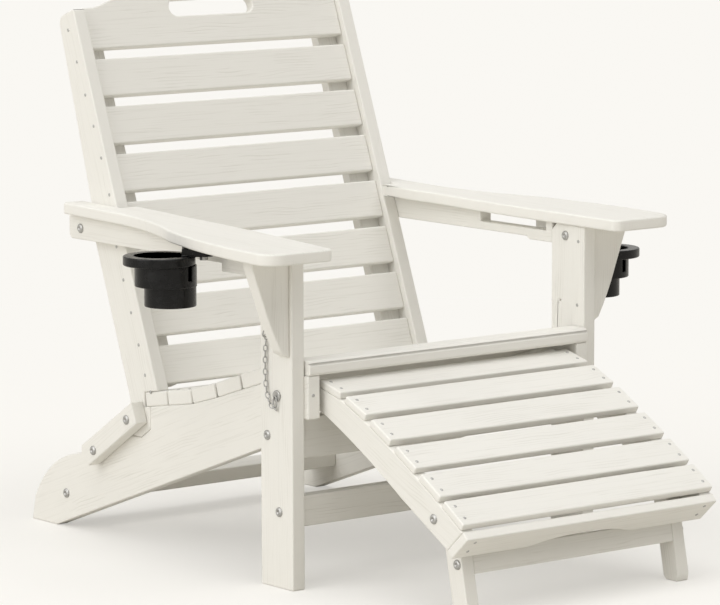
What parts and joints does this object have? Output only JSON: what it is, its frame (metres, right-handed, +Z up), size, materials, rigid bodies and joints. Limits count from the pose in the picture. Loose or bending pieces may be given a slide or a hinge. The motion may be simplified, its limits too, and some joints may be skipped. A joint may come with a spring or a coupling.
{
  "type": "lounge chair",
  "caption": "Slatted outdoor lounge chair with wide arms, swing-out cup holders and a tilting footrest on folding legs",
  "frame": {"origin": "Centre of the footprint, on the floor: the middle of the bounding box's bottom face.", "axes": "+Z is up, -Y is the way the sitter faces, +X is to the right for someone looking at the front."},
  "size_m": [0.95, 1.1193, 0.9094],
  "materials": {
    "lumber": "ivory recycled plastic lumber with an embossed wood grain",
    "steel": "zinc plated or stainless fasteners",
    "black_plastic": "satin moulded black plastic"
  },
  "bodies": {
    "frame": {"back_crest_slat": "lumber", "back_slat_2": "lumber", "back_slat_3": "lumber", "back_slat_4": "lumber", "back_slat_5": "lumber", "back_slat_6": "lumber", "back_slat_7": "lumber", "back_slat_8": "lumber", "back_cleats": "lumber", "arm_blocks": "lumber", "left_stringer": "lumber", "right_stringer": "lumber", "left_front_post": "lumber", "right_front_post": "lumber", "left_gusset": "lumber", "right_gusset": "lumber", "left_arm_board": "lumber", "right_arm_board": "lumber", "left_arm_beam": "lumber", "right_arm_beam": "lumber", "left_back_stile": "lumber", "right_back_stile": "lumber", "left_brace": "lumber", "right_brace": "lumber", "rear_bar": "lumber", "front_stretcher": "lumber", "rear_stretcher": "lumber", "front_cross_board": "lumber", "seat_slat_1": "lumber", "seat_slat_2": "lumber", "seat_slat_3": "lumber", "seat_slat_4": "lumber", "seat_slat_5": "lumber", "seat_slat_6": "lumber", "seat_nose_slat": "lumber", "frame_bolts": "steel", "chain_eyes": "steel", "left_chain": "steel", "right_chain": "steel", "cup_pivot_bolts": "steel"},
    "ottoman": {"left_ottoman_rail": "lumber", "right_ottoman_rail": "lumber", "ottoman_slat_1": "lumber", "ottoman_slat_2": "lumber", "ottoman_slat_3": "lumber", "ottoman_slat_4": "lumber", "ottoman_slat_5": "lumber", "ottoman_slat_6": "lumber", "ottoman_apron": "lumber", "ottoman_pivot_bolts": "steel"},
    "ottoman_legs": {"left_ottoman_leg": "lumber", "right_ottoman_leg": "lumber", "ottoman_leg_stretcher": "lumber", "ottoman_leg_bolts": "steel"},
    "left_lock_pin": {"left_lock_pin": "steel"},
    "right_lock_pin": {"right_lock_pin": "steel"},
    "left_cup_holder": {"left_cup_ring": "black_plastic", "left_cup": "black_plastic"},
    "right_cup_holder": {"right_cup_ring": "black_plastic", "right_cup": "black_plastic"}
  },
  "joints": [
    {"name": "ottoman_tilt", "type": "hinge", "parent": "frame", "child": "ottoman", "pos_m": [0, -0.16475, 0.305], "axis": [1, 0, 0], "range_deg": [0, 16]},
    {"name": "ottoman_leg_fold", "type": "hinge", "parent": "ottoman", "child": "ottoman_legs", "pos_m": [0, -0.47975, 0.15], "axis": [1, 0, 0], "range_deg": [0, 130]},
    {"name": "left_pin_pull", "type": "slide", "parent": "frame", "child": "left_lock_pin", "axis": [-1, 0, 0], "range_m": [0, 0.09]},
    {"name": "right_pin_pull", "type": "slide", "parent": "frame", "child": "right_lock_pin", "axis": [1, 0, 0], "range_m": [0, 0.09]},
    {"name": "left_cup_swing", "type": "hinge", "parent": "frame", "child": "left_cup_holder", "pos_m": [-0.362, -0.04075, 0.52], "axis": [0, 0, 1], "range_deg": [-10, 84]},
    {"name": "right_cup_swing", "type": "hinge", "parent": "frame", "child": "right_cup_holder", "pos_m": [0.362, -0.06775, 0.52], "axis": [0, 0, 1], "range_deg": [-10, 84]}
  ]
}
